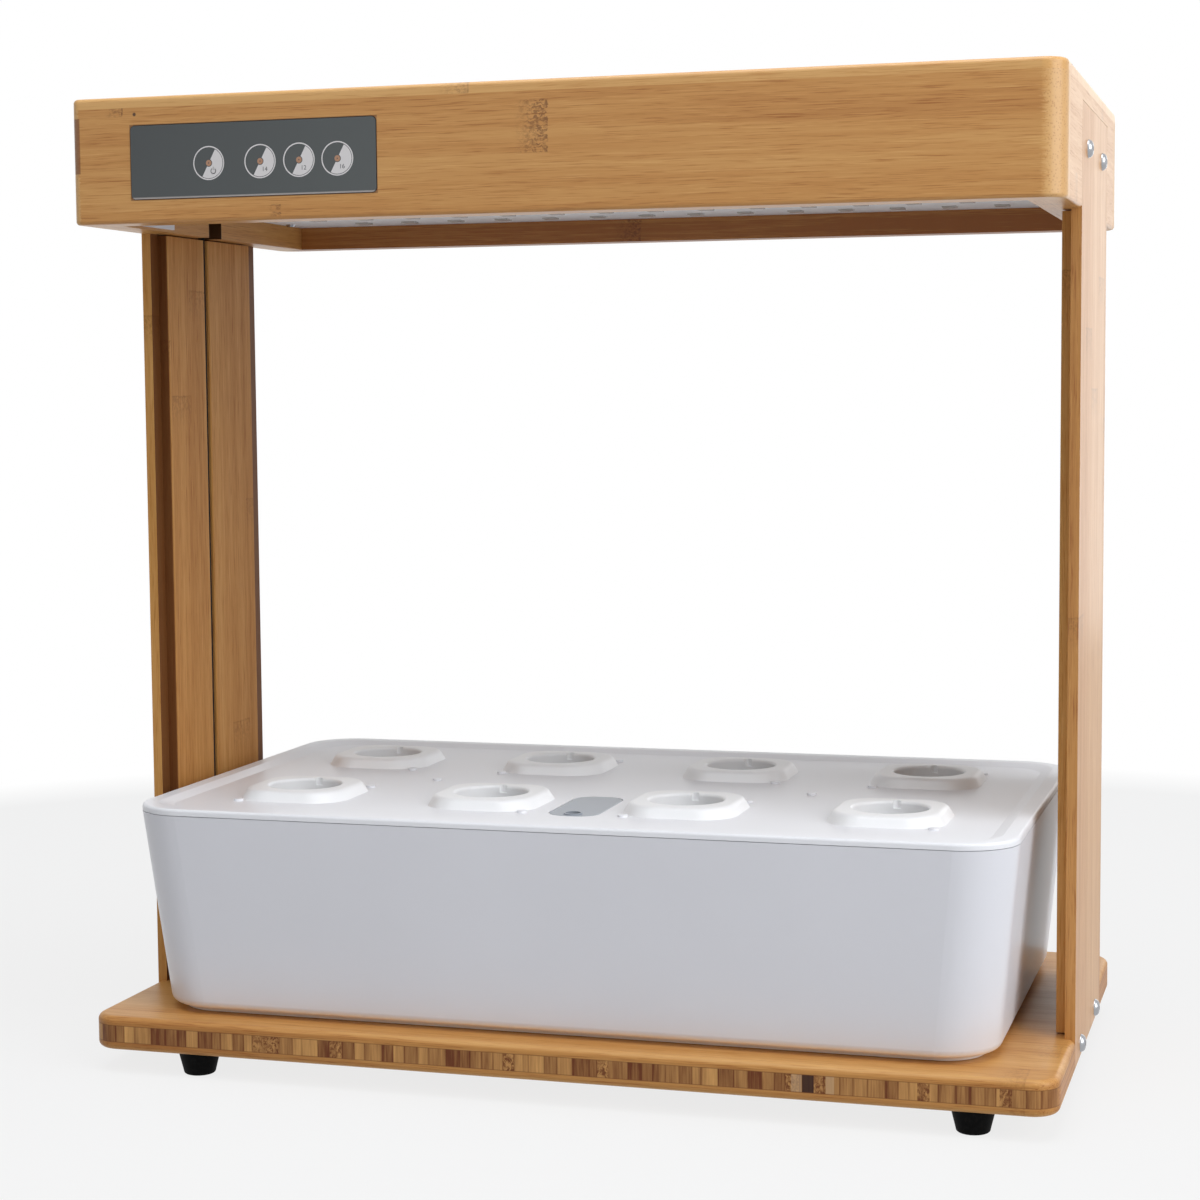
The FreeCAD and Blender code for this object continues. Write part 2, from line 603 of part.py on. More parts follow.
def tank():
    # A drafted tub with a rounded bottom edge, standing on a low hollow plinth.
    shell_bottom = TANK_BOTTOM + PLINTH_HEIGHT
    outside = tank_taper(shell_bottom, TANK_TOP)
    outside = outside.makeFillet(TANK_BOTTOM_ROUND, level_edges(outside, shell_bottom))
    inside_bottom = shell_bottom + TANK_FLOOR
    inside = tank_taper(inside_bottom, TANK_TOP + 1, TANK_WALL)
    inside = inside.makeFillet(TANK_BOTTOM_ROUND, level_edges(inside, inside_bottom))
    width, depth, corner = tank_outline(shell_bottom, PLINTH_INSET + TANK_BOTTOM_ROUND)
    plinth = rounded_slab(width, depth, corner, TANK_BOTTOM, shell_bottom + TANK_FLOOR / 2, TANK_MIDDLE)
    under = rounded_slab(width - 2 * PLINTH_WALL, depth - 2 * PLINTH_WALL, corner - PLINTH_WALL,
                         TANK_BOTTOM - 1, shell_bottom, TANK_MIDDLE)
    return outside.fuse(plinth).cut([inside, under]).removeSplitter()


def pod_places():
    for row in range(POD_ROWS):
        for column in range(POD_COLUMNS):
            x = TANK_MIDDLE_X + (column - (POD_COLUMNS - 1) / 2) * POD_PITCH_X
            y = TANK_MIDDLE_Y + (row - (POD_ROWS - 1) / 2) * POD_PITCH_Y
            yield row, column, x, y


def pip_places():
    # Two pips at opposite corners of each pod, on the other diagonal for each neighbour, and one
    # between the rows at the middle of each half.
    for row, column, x, y in pod_places():
        lean = 1 if (row + column) % 2 == 0 else -1
        for k in (-1, 1):
            yield x + k * PIP_OFFSET_X, y + k * lean * PIP_OFFSET_Y
    for k in (-1, 1):
        yield TANK_MIDDLE_X + k * POD_PITCH_X * (POD_COLUMNS - 2) / 2, TANK_MIDDLE_Y


def lid_slab(inset, z0, z1):
    # A level slab of the lid's outline, moved inward by inset.
    width, depth, corner = TANK_TOP_WIDTH - 2 * inset, TANK_TOP_DEPTH - 2 * inset, TANK_CORNER - inset
    return rounded_slab(width, depth, max(corner, 3.0), z0, z1, TANK_MIDDLE)


def lid():
    # A rim over the tank's wall, a skirt inside it, and a sunk floor with sloped sides.
    rim = lid_slab(0, TANK_TOP + SEAT_GAP, LID_TOP)
    rim = rim.makeFillet(LID_EDGE_ROUND, level_edges(rim, LID_TOP))
    skirt_low = TANK_TOP - LID_SKIRT_DEPTH
    skirt_inset = TANK_WALL + 2 * SEAT_GAP + LID_SKIRT_DEPTH * TANK_SLOPE
    skirt = lid_slab(skirt_inset, skirt_low, LID_TOP - LID_RIM / 2)
    hollow = lid_slab(skirt_inset + LID_SKIRT, skirt_low - 1, LID_UNDER)
    border, step = 2 * LID_BORDER, 2 * (LID_BORDER + LID_STEP_WIDTH)
    low = (TANK_TOP_WIDTH - step, TANK_TOP_DEPTH - step, TANK_CORNER - LID_BORDER)
    high = (TANK_TOP_WIDTH - border, TANK_TOP_DEPTH - border, TANK_CORNER - LID_BORDER)
    recess = rounded_taper(low, high, LID_FLOOR, LID_TOP, TANK_MIDDLE)
    holes = [Part.makeCylinder(POD_HOLE_RADIUS + BASKET_WALL + SEAT_GAP, BOX_HEIGHT, V(x, y, skirt_low))
             for row, column, x, y in pod_places()]
    pips = [Part.makeCylinder(PIP_RADIUS, PIP_HEIGHT + LID_PLATE / 2, V(x, y, LID_FLOOR - LID_PLATE / 2))
            for x, y in pip_places()]
    plate = rim.fuse(skirt).cut([hollow, recess]).fuse(pips)
    return plate.cut(holes + [filler_pocket()]).removeSplitter()


def filler_slab(grow, z0, z1):
    return rounded_slab(FILLER_WIDTH + 2 * grow, FILLER_LENGTH + 2 * grow, FILLER_CORNER + grow, z0, z1,
                        (TANK_MIDDLE_X, FILLER_MIDDLE_Y))


def filler_pocket():
    # A rebate that the cover lies in, and the filling mouth below it.
    rebate = filler_slab(SEAT_GAP, FILLER_SEAT, LID_TOP)
    mouth = filler_slab(-FILLER_LEDGE, LID_UNDER - 1, LID_TOP)
    return rebate.fuse(mouth)


def filler_cover():
    # A bevelled plate with a rimmed finger hole near its front.
    top = FILLER_SEAT + FILLER_THICKNESS
    plate = filler_slab(0, FILLER_SEAT, top)
    plate = plate.makeChamfer(FILLER_BEVEL, level_edges(plate, top))
    x, y = TANK_MIDDLE_X, FILLER_MIDDLE_Y - FILLER_LENGTH / 2 + FINGER_HOLE_INSET
    rim = Part.makeCylinder(FINGER_HOLE_RADIUS + FINGER_RIM_WIDTH, FILLER_THICKNESS / 2 + FINGER_RIM_HEIGHT,
                            V(x, y, top - FILLER_THICKNESS / 2))
    hole = Part.makeCylinder(FINGER_HOLE_RADIUS, FILLER_THICKNESS + 3, V(x, y, FILLER_SEAT - 1))
    return plate.fuse(rim).cut(hole).removeSplitter()


def pod_collar(x, y):
    # A crowned square collar on the lid, with its round mouth and two small notches.
    low = (COLLAR_WIDTH, COLLAR_WIDTH, COLLAR_CORNER)
    high = (COLLAR_TOP_WIDTH, COLLAR_TOP_WIDTH, COLLAR_CORNER)
    top = LID_FLOOR + COLLAR_HEIGHT
    collar = rounded_taper(low, high, LID_FLOOR, top)
    collar = collar.makeFillet(COLLAR_EDGE_ROUND, level_edges(collar, top))
    mouth = Part.makeCylinder(POD_HOLE_RADIUS, COLLAR_HEIGHT + 2, V(0, 0, LID_FLOOR - 1))
    collar = collar.cut(mouth)
    lip = [e for e in level_edges(collar, top) if e.BoundBox.XLength < 2 * POD_HOLE_RADIUS + 0.1
           and e.BoundBox.XLength > 2 * POD_HOLE_RADIUS - 0.1]
    collar = collar.makeFillet(COLLAR_LIP_ROUND, lip)
    seat = Part.makeCylinder(BASKET_FLANGE_RADIUS + SEAT_GAP, BASKET_FLANGE + 1, V(0, 0, LID_FLOOR - 1))
    notches = [Part.makeCylinder(POD_NOTCH_RADIUS, COLLAR_HEIGHT + 2, V(0, k * POD_HOLE_RADIUS, LID_FLOOR - 1))
               for k in (-1, 1)]
    collar = collar.cut([seat] + notches)
    collar.translate(V(x, y, 0))
    return collar


def basket(x, y):
    # A tapered net cup hung by its flange under the collar, slotted round its lower part.
    r0, r1, t, d = POD_HOLE_RADIUS, BASKET_BOTTOM_RADIUS, BASKET_WALL, BASKET_DEPTH
    cup = turned([(0, -d), (r1 + t, -d), (r0 + t, -BASKET_FLANGE), (r0 + t, 0),
                  (BASKET_FLANGE_RADIUS, 0), (BASKET_FLANGE_RADIUS, BASKET_FLANGE), (r0, BASKET_FLANGE),
                  (r0, 0), (r1, t - d), (0, t - d)])
    slots = []
    for k in range(BASKET_SLOTS):
        slot = block(r1 - 3 * t, BASKET_FLANGE_RADIUS, -BASKET_SLOT_WIDTH / 2, BASKET_SLOT_WIDTH / 2,
                     BASKET_SLOT_BOTTOM - d, -BASKET_SLOT_TOP)
        slot.rotate(V(0, 0, 0), V(0, 0, 1), 360 * (k + 0.5) / BASKET_SLOTS)
        slots.append(slot)
    drain = Part.makeCylinder(BASKET_DRAIN_RADIUS, 3 * t, V(0, 0, -d - t))
    cup = cup.cut(slots + [drain])
    cup.translate(V(x, y, LID_FLOOR))
    return cup


def export(name, *pieces):
    shape = pieces[0] if len(pieces) == 1 else Part.makeCompound(list(pieces))
    shape.exportStep(f"parts/{name}.step")


def make_stand():
    export("base_board", base_board())
    for name, place in foot_places().items():
        export(f"foot_{name}", foot(*place))
    export("foot_screws", *[foot_screw(*place) for place in foot_places().values()])
    half = CHANNEL_WIDTH / 2
    for name, side in SIDES.items():
        export(f"post_plank_{name}", outer_plank(side))
        export(f"inner_plank_{name}_front", inner_plank(side, POST_FRONT + INNER_FRONT_SETBACK,
                                                        CHANNEL_MIDDLE - half))
        export(f"inner_plank_{name}_back", inner_plank(side, CHANNEL_MIDDLE + half,
                                                       POST_BACK - INNER_BACK_SETBACK))
        export(f"base_screws_{name}", *[frame_screw(side, y, z) for y, z in side_screw_places(LOW_SCREW_Z)])
        export(f"box_screws_{name}", *[frame_screw(side, y, z) for y, z in side_screw_places(HIGH_SCREW_Z)])


def make_light_box():
    blank = box_blank()
    export("box_front_board", box_end_board(blank, -1).cut(panel_pocket()))
    export("box_back_board", box_end_board(blank, 1))
    for name, side in SIDES.items():
        export(f"box_{name}_board", box_side_board(blank, side))
        export(f"panel_cleat_{name}", mounting_cleat(side))
    export("box_top_panel", box_top(blank))
    export("light_panel", light_panel())
    export("led_chips", *[led(x, y) for x, y in led_places()])
    export("light_panel_screws", *[tray_screw(x, y) for x, y in tray_screw_places()])


def make_controls():
    export("control_panel", control_panel())
    export("control_board", control_board())
    export("touch_springs", *[touch_spring(x) for x in touch_key_places()])
    export("wire_cover", wire_cover())
    export("power_lead", power_lead())
    export("power_inlet", inlet())


def make_tank():
    export("tank", tank())
    export("tank_lid", lid())
    export("filler_cover", filler_cover())
    for row, column, x, y in pod_places():
        place = f"{('front', 'back')[row]}_{column + 1}"
        export(f"pod_collar_{place}", pod_collar(x, y))
        export(f"basket_{place}", basket(x, y))


make_stand()
make_light_box()
make_controls()
make_tank()
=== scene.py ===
# Looks of the countertop hydroponic garden: bamboo stand, white tank and lid, planting cups,
# light box and touch panel. Metres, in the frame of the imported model.
import math
import bpy
import numpy as np
from mathutils import Matrix, Vector


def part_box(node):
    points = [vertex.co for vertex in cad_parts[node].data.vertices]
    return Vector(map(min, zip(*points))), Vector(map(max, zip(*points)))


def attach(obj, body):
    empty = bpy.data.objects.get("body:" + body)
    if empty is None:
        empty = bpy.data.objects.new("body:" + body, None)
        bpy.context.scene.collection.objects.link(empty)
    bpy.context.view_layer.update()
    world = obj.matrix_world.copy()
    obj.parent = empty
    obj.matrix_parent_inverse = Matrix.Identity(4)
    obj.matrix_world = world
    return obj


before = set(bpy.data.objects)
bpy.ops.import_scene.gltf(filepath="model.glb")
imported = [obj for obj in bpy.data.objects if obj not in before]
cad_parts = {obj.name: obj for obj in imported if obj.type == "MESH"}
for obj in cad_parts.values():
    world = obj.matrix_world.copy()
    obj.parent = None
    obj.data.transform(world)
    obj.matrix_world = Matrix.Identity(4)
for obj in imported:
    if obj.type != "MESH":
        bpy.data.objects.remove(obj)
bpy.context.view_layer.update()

# The photograph's camera, in metres and degrees
CAMERA_PLACE = (0.33204, -1.15657, 0.31727)
CAMERA_HEADING = 16.47
CAMERA_DIP = 4.80
CAMERA_ROLL = -0.45
FOCAL_PIXELS = 2487.0
PHOTO_PIXELS = 1200.0
SENSOR_MM = 36.0

# Boxes that patterns and prints are set out from, read from the frame
BASE_LOW, BASE_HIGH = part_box("base_board")
PANEL_LOW, PANEL_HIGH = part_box("control_panel")
TANK_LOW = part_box("tank")[0]

# Touch keys: steps from the panel's left edge and the rise from its lower edge
KEY_STEPS = (0.0386, 0.0637, 0.0825, 0.1009)
KEY_RISE = 0.0152
KEY_X = tuple(PANEL_LOW.x + step for step in KEY_STEPS)
KEY_Z = PANEL_LOW.z + KEY_RISE
KEY_HOURS = ("", "14", "12", "16")
KEY_RADIUS = 0.0076
KEY_LINE = 0.00055
KEY_SECTOR = 0.0068
KEY_TILT = 62.0               # the sector's straight side, in degrees from level
KEY_HUB = 0.0017
HUB_COPPER = KEY_HUB * 0.8    # the copper dot's radius
HUB_PINHOLE = 0.0003

# Marks on the keys: steps from the key's middle, heights of letters, and the power mark's arc
MARK_RIGHT = 0.0022
MARK_DOWN = 0.0036
HOURS_HEIGHT = 0.0028
POWER_ARC_INNER = 0.0010
POWER_ARC_OUTER = 0.00135
POWER_ARC_START = 120
POWER_ARC_END = 420
POWER_BAR_RISE = 0.0011
POWER_BAR_HEIGHT = 0.0020

# Flat prints
PRINT_LIFT = 0.00004
BAND_STEP = 6                 # degrees from one point of an arc to the next
BAND_STEPS_LEAST = 8
WHOLE_TURN = 360

# Lights: place, aim, width, height, watts
LIGHTS = {
    "right_light": ((1.58, -0.62, 0.92), (0.0, 0.0, 0.25), 1.5, 1.3, 22.0),
    "front_light": ((-0.50, -1.70, 1.35), (0.0, 0.0, 0.22), 1.4, 1.4, 4.5),
    "top_light": ((0.10, -0.30, 1.75), (0.0, 0.0, 0.20), 1.3, 1.3, 19.0),
    "back_light": ((0.42, 2.10, 0.42), (0.12, 0.0, 0.25), 0.7, 1.0, 2.3),
}
DAYLIGHT = (0.94, 0.97, 1.0)
WHITE = (1.0, 1.0, 1.0, 1.0)
WORLD_LEVEL = 0.21

# The floor disc: rings of points, points in a ring, and where it fades to white
FLOOR_RINGS = (0.0005, 0.4, 0.8, 1.4, 2.2, 4.0)
FLOOR_SPOKES = 64
FLOOR_GREY = (0.55, 0.55, 0.55, 1.0)
FLOOR_FADE = (0.40, 0.95)
FLOOR_GLOW = 0.80             # share of plain white that the camera sees, the rest shows shadow

# Noise keeps near its middle, and these two levels are drawn out to 0 and 1
NOISE_LOW = 0.30
NOISE_HIGH = 0.70
FINE = {"detail": 3.0, "roughness": 0.6}

# Places of a Mix node's inputs
MIX_SHARE = 0
MIX_FIRST = 6
MIX_SECOND = 7
MIX_RESULT = 2


class Value:
    """A node's output. Python arithmetic on it adds Math nodes."""

    def __init__(self, nodes, socket):
        self.nodes = nodes
        self.socket = socket

    def maths(self, operation, *others):
        return self.nodes.node("ShaderNodeMath", {"operation": operation}, self, *others)(0)

    def __add__(self, other):
        return self.maths("ADD", other)

    def __radd__(self, other):
        return self.maths("ADD", other)

    def __sub__(self, other):
        return self.maths("SUBTRACT", other)

    def __rsub__(self, other):
        return self.nodes.node("ShaderNodeMath", {"operation": "SUBTRACT"}, other, self)(0)

    def __mul__(self, other):
        return self.maths("MULTIPLY", other)

    def __rmul__(self, other):
        return self.maths("MULTIPLY", other)

    def __truediv__(self, other):
        return self.maths("DIVIDE", other)

    def __abs__(self):
        return self.maths("ABSOLUTE")

    def floor(self):
        return self.maths("FLOOR")

    def fract(self):
        return self.maths("FRACT")

    def largest(self, other):
        return self.maths("MAXIMUM", other)

    def root(self):
        return self.maths("SQRT")

    def clamped(self):
        return self.nodes.node("ShaderNodeClamp", {}, self)(0)

    def step(self, low, high):
        """0 below low, 1 above high, and straight between them. low may be above high."""
        return ((self - low) * (1.0 / (high - low))).clamped()

    def spread(self):
        """Noise drawn out to the whole range of 0 to 1."""
        return self.step(NOISE_LOW, NOISE_HIGH)


class Nodes:
    """A node tree, and the one way in which nodes are added to it."""

    def __init__(self, tree):
        self.tree = tree

    def fill(self, socket, value):
        """Links a node's output to a socket, or sets the socket to a plain value."""
        if isinstance(value, Value):
            self.tree.links.new(value.socket, socket)
        else:
            socket.default_value = value

    def node(self, kind, settings, *values, **named):
        """Adds a node, sets its settings, then fills its inputs in order and by name."""
        node = self.tree.nodes.new(kind)
        for key, value in settings.items():
            setattr(node, key, value)
        pairs = list(enumerate(values)) + [(k.replace("_", " "), v) for k, v in named.items()]
        for key, value in pairs:
            self.fill(node.inputs[key], value)
        return lambda output: Value(self, node.outputs[output])


class Paint(Nodes):
    """One material: a Principled shader and the nodes that feed it."""

    def __init__(self, name, **fixed):
        self.material = bpy.data.materials.new(name)
        self.material.use_nodes = True
        super().__init__(self.material.node_tree)
        self.shader = next(n for n in self.tree.nodes if n.type == "BSDF_PRINCIPLED")
        for socket, value in fixed.items():
            self.shader.inputs[socket.replace("_", " ")].default_value = value

    def feed(self, socket, value):
        self.tree.links.new(value.socket, self.shader.inputs[socket])

    def place(self):
        """Object coordinates in metres, as three values."""
        where = self.node("ShaderNodeTexCoord", {})("Object")
        parts = self.node("ShaderNodeSeparateXYZ", {}, where)
        return parts(0), parts(1), parts(2)

    def facing(self):
        """The surface normal, as three values."""
        normal = self.node("ShaderNodeNewGeometry", {})("Normal")
        parts = self.node("ShaderNodeSeparateXYZ", {}, normal)
        return parts(0), parts(1), parts(2)

    def vector(self, x, y, z):
        return self.node("ShaderNodeCombineXYZ", {}, x, y, z)(0)

    def noise(self, vector, scale=1.0, detail=2.0, roughness=0.5):
        return self.node("ShaderNodeTexNoise", {}, Vector=vector, Scale=scale, Detail=detail,
                         Roughness=roughness)("Fac")

    def chance(self, number):
        """A random value from 0 to 1 for each number."""
        kind = {"noise_dimensions": "1D"}
        return self.node("ShaderNodeTexWhiteNoise", kind, W=number)("Value")

    def cells(self, number):
        """A random value for each cell of uneven width along a line."""
        node = self.node("ShaderNodeTexVoronoi", {"voronoi_dimensions": "1D"}, W=number, Scale=1.0)
        return self.node("ShaderNodeSeparateColor", {}, node("Color"))(0)

    def to_cell_edge(self, number):
        """How near the next cell's edge is, along the same line."""
        kind = {"voronoi_dimensions": "1D", "feature": "DISTANCE_TO_EDGE"}
        return self.node("ShaderNodeTexVoronoi", kind, W=number, Scale=1.0)("Distance")

    def spots(self, vector, scale):
        return self.node("ShaderNodeTexVoronoi", {}, Vector=vector, Scale=scale)("Distance")

    def mix(self, share, first, second):
        """Two colours mixed by share."""
        node = self.tree.nodes.new("ShaderNodeMix")
        node.data_type = "RGBA"
        self.fill(node.inputs[MIX_SHARE], share)
        for index, colour in ((MIX_FIRST, first), (MIX_SECOND, second)):
            self.fill(node.inputs[index], (*colour, 1.0) if isinstance(colour, tuple) else colour)
        return Value(self, node.outputs[MIX_RESULT])

    def bump(self, height, strength, distance):
        node = self.node("ShaderNodeBump", {}, Height=height, Strength=strength, Distance=distance)
        self.feed("Normal", node(0))


def srgb(red, green, blue):
    """A colour read as 0 to 255 on screen, as linear light."""
    def one(level):
        level = level / 255
        return level / 12.92 if level <= 0.04045 else ((level + 0.055) / 1.055) ** 2.4
    return one(red), one(green), one(blue)


# Bamboo colours, pale to dark, with browns for marks and for painted shade
PALE_STRIP = srgb(216, 167, 103)
WARM_STRIP = srgb(194, 138, 75)
DEEP_STRIP = srgb(154, 93, 41)
KNOT_BROWN = srgb(98, 53, 21)
END_PALE = srgb(214, 168, 110)
CORE_PALE = srgb(218, 164, 98)
CORE_DEEP = srgb(104, 50, 16)
CORE_DARK = srgb(44, 18, 8)
CORE_ASHEN = srgb(200, 166, 128)
# painted shade for the recess between the left post's planks
RECESS_SHADE_BROWN = srgb(88, 42, 18)
TONGUE_BROWN = srgb(112, 58, 24)
HOLE_BROWN = srgb(52, 26, 14)
# painted shade for the gap round the panel's seat
SEAT_SHADE_BROWN = srgb(84, 42, 18)
NOTCH_BROWN = srgb(44, 20, 10)

# Plastics, rubber, metals and the panel
PLASTIC_WHITE = srgb(232, 232, 238)
LID_WHITE = srgb(243, 243, 247)
CUP_WHITE = srgb(251, 251, 252)
# paler band of painted reflected light at the tank's foot
RIM_PAINTED_BOUNCE = srgb(255, 251, 246)
FILLER_GREY = srgb(160, 166, 175)
FOOT_BLACK = srgb(7, 7, 7)
LEAD_BLACK = srgb(24, 24, 26)
INLET_BLACK = srgb(18, 18, 20)
CIRCUIT_GREEN = srgb(22, 82, 52)
LENS_GREY = srgb(190, 186, 180)
PLATE_PALE = srgb(226, 224, 224)
PLATE_CLOUD = srgb(210, 208, 210)
PANEL_DARK = srgb(70, 74, 75)
# the panel's painted sheen, and the painted highlight on its lower edge
PANEL_PAINTED_SHEEN = srgb(88, 92, 92)
PANEL_EDGE_HIGHLIGHT = srgb(176, 168, 164)
PRINT_PALE = srgb(222, 218, 218)
PRINT_DARK = srgb(84, 84, 86)
COPPER = srgb(176, 132, 104)
STEEL = (0.42, 0.43, 0.45)
BRASS = (0.78, 0.58, 0.30)

AXIS = {"x": 0, "y": 1, "z": 2}

# Bamboo's grain: scales per metre along and across the fibres
SWAY_SCALE = (9.0, 40.0)
SWAY = 0.0030
DARK_FIBRE = (50.0, 1900.0)
PALE_FIBRE = (34.0, 1500.0)
PALE_FIBRE_SHIFT = 7.0
STREAK = (10.0, 480.0)
BROAD = (4.0, 110.0)
DARK_FIBRE_LEVELS = (0.53, 0.72)
PALE_FIBRE_LEVELS = (0.56, 0.74)

# The cane's joints: the wriggling fibres, the edge's wander, the band and its sharp line
CURL_SCALE = (420.0, 1000.0)
CURL = 0.0050
CURL_LEVELS = (0.40, 0.62)
JOINT_WANDER_SCALE = (200.0, 500.0)
JOINT_WANDER = 0.0018
BAND_FADE = (-0.0120, -0.0010)
BAND_END = (0.0033, 0.0027)
BAND_LINE = 0.0028
LINE_HALF = (0.0006, 0.0002)
PLACED_END = (0.0004, -0.0002)
PLACED_EDGE = 0.0003

# Boards: width of a strip, and from one joint to the next along it
STRIP_WIDTH = 0.0255
JOINT_PITCH = 0.31
TOP_STRIP = 0.0205
TOP_PITCH = 0.43
POST_STRIP = 0.030
INNER_STRIP = 0.021
POST_PITCH = 0.37
SIDE_PITCH = 0.23
STRIP_CONTRAST = 0.20

# Lacquer
LACQUER_IOR = 1.48
LACQUER_SHEEN = 0.5
DULL_SHEEN = 0.12
BASE_SHEEN = 0.3
GRAIN_ROUGHNESS = 0.12
BASE_ROUGHNESS = 0.36
GRAIN_BUMP = (0.10, 0.0002)

# End grain: how far from the middle it starts, at the left and at the right
FRONT_BOARD_ENDS = (0.2212, 0.2158)
BACK_BOARD_ENDS = (0.2158, 0.2158)
RAGGED = 0.0110
PORE_SCALE = 900.0
PORE_LEVELS = (0.42, 0.12)
BOARD_OFFSET = 0.0035

# Knuckles that the boards show: sharp end, length, lower and upper edge, strength
FRONT_KNUCKLES = ((0.0033, 0.0150, 0.4205, 0.4432, 1.0),
                  (-0.1990, 0.0090, 0.4432, 0.4475, 0.8),
                  (-0.1220, 0.0060, 0.3965, 0.4020, 0.8))
BACK_KNUCKLES = ((-0.0170, 0.0150, 0.3900, 0.4205, 1.0),)

# Marks on the front board: a dark strip's end at the left corner, a nail hole, and painted shade in
# the gap round the panel's seat
TONGUE_RIGHT = (-0.2205, -0.2209)
TONGUE_LOW = (0.4178, 0.4182)
TONGUE_HIGH = (0.4432, 0.4428)
NAIL_LEFT = 0.1930            # from the middle
NAIL_Z = 0.4440
NAIL_EDGE = (0.0010, 0.0006)
SEAT_SHADE_EDGE = (0.0007, 0.0004)

# The notch over the left post: its front, its back and its top
NOTCH_FRONT = (-0.0124, -0.0122)
NOTCH_BACK = (0.0024, 0.0022)
NOTCH_TOP = (0.4152, 0.4150)

# The base board: outer plies over a core of blocks seen end on
PLY = 0.0041
PLY_BLUR = 0.0001
GLUE_HALF = (0.00030, 0.00010)
BASE_PITCH = 0.62
BLOCK_SCALE = 165.0
BLOCK_JOINT = (0.10, 0.03)
RIB_SCALE = (1300.0, 60.0)
DRIFT_SCALE = (260.0, 30.0)
KNOTTED_CHANCE = (0.045, 0.040)
KNOTTED_BLOCKS = (0.1236, 0.1685, 0.2034)
KNOTTED_HALF = (0.0027, 0.0026)
DARK_BLOCK = 0.1185
DARK_BLOCK_HALF = (0.0026, 0.0025)
ASHEN_BLOCKS = ((0.1134, 0.0024, 0.0023), (0.1281, 0.0019, 0.0018))
LONG_CORE_SCALE = (1500.0, 9.0, 900.0)

# Plastics' faint cloud and orange peel, and the tank's bottom rim of painted reflected light
PLASTIC_IOR = 1.49
CLOUD_SCALE = 9.0
CLOUD_DARKER = 0.965
CLOUD_ROUGHNESS = 0.06
PEEL_SCALE = 1400.0
PEEL_DEPTH = 0.0001
RIM_TOP = 0.0055
RIM_FULL = 0.0035


def grain_tone(paint, along, across, depth, seed):
    """Thin dark and pale fibres on calm broad streaks, all drawn out along the strip: 0 to 1."""
    sway = paint.vector(along * SWAY_SCALE[0], across * SWAY_SCALE[1], depth * SWAY_SCALE[1])
    sway = (paint.noise(sway) - 0.5) * SWAY
    t, d = across + sway, depth + sway
    long, fine = DARK_FIBRE
    dark = paint.noise(paint.vector(along * long + seed, t * fine, d * fine), **FINE)
    long, fine = PALE_FIBRE
    pale = paint.vector(along * long - seed, t * fine, d * fine + PALE_FIBRE_SHIFT)
    pale = paint.noise(pale, **FINE)
    long, fine = STREAK
    streak = paint.noise(paint.vector(along * long, t * fine + seed, d * fine), **FINE)
    long, fine = BROAD
    broad = paint.noise(paint.vector(along * long, t * fine + seed, d * fine))
    calm = streak.spread() * 0.22 + broad.spread() * 0.24 + 0.20
    return calm + dark.step(*DARK_FIBRE_LEVELS) * 0.46 - pale.step(*PALE_FIBRE_LEVELS) * 0.30


def strip_tone(paint, strip, seed, shift):
    """Each strip's own step from the common tone, the same all along it."""
    return (paint.chance(strip + seed) - 0.5) * STRIP_CONTRAST + shift


def cane_colour(paint, tone):
    """Pale strip at tone 0, warm at a half and deep at 1."""
    colour = paint.mix(tone.step(0.0, 0.5), PALE_STRIP, WARM_STRIP)
    return paint.mix(tone.step(0.5, 1.0), colour, DEEP_STRIP)


def dashes(paint, along, across, depth):
    """Short wriggling fibres that crowd where the cane had a joint: 0 pale to 1 dark."""
    wave, fine = CURL_SCALE
    bend = (paint.noise(paint.vector(along * wave, across * wave, depth * wave)) - 0.5) * CURL
    grain = paint.vector(along * wave, (across + bend) * fine, depth * fine)
    return paint.noise(grain, roughness=0.55).step(*CURL_LEVELS)


def knot_band(paint, along, across, depth, strip, seed, pitch):
    """The cane's joints: across each strip once for every pitch of its length, fading in from one
    side and ending in a thin dark line on the other. 0 to 1."""
    gap = ((along / pitch + paint.chance(strip + seed)).fract() - 0.5) * pitch
    long, fine = JOINT_WANDER_SCALE
    edge = paint.noise(paint.vector(along * long, across * fine, depth * fine))
    edge = (edge - 0.5) * JOINT_WANDER
    body = (gap + edge).step(*BAND_FADE) * (gap + edge).step(*BAND_END)
    line = abs(gap + edge - BAND_LINE).step(*LINE_HALF)
    return (body * dashes(paint, along, across, depth) * 0.7 + line * 0.35).clamped()


def placed_knots(paint, s, t, d, places):
    """Joints where the board shows them. Each place gives the sharp end, the length, the two edges
    and the strength. 0 to 1."""
    total = 0.0
    long, fine = JOINT_WANDER_SCALE
    edge = (paint.noise(paint.vector(s * long, t * fine, 0.0)) - 0.5) * JOINT_WANDER
    for end, length, low, high, strength in places:
        gap = s + edge - end
        across = t.step(low - PLACED_EDGE, low + PLACED_EDGE)
        across = across * t.step(high + PLACED_EDGE, high - PLACED_EDGE)
        body = gap.step(-length, -length * 0.3) * gap.step(*PLACED_END)
        line = abs(gap).step(*LINE_HALF) * 0.6
        total = (body + line) * across * strength + total
    return (total * (dashes(paint, s, t, d) * 1.3 - 0.18)).clamped()


def end_grain(paint, s, t, d, ends, colour):
    """The ends of a board's strips at its rounded corners: pale, with dark pores and a ragged
    start."""
    from_left, from_right = ends
    ragged = paint.vector(s * 60.0, t * 1100.0, d * 1100.0)
    ragged = (paint.noise(ragged, detail=3.0, roughness=0.7) - 0.5) * RAGGED
    right = (s + ragged).step(from_right - 0.0010, from_right + 0.0020)
    left = (s - ragged * 0.3).step(0.0002 - from_left, -from_left - 0.0004)
    pores = paint.spots(paint.vector(s, t, d), PORE_SCALE)
    cut = paint.mix(pores.step(*PORE_LEVELS) * 0.42, END_PALE, DEEP_STRIP)
    return paint.mix((left + right).clamped() * 0.9, colour, cut)


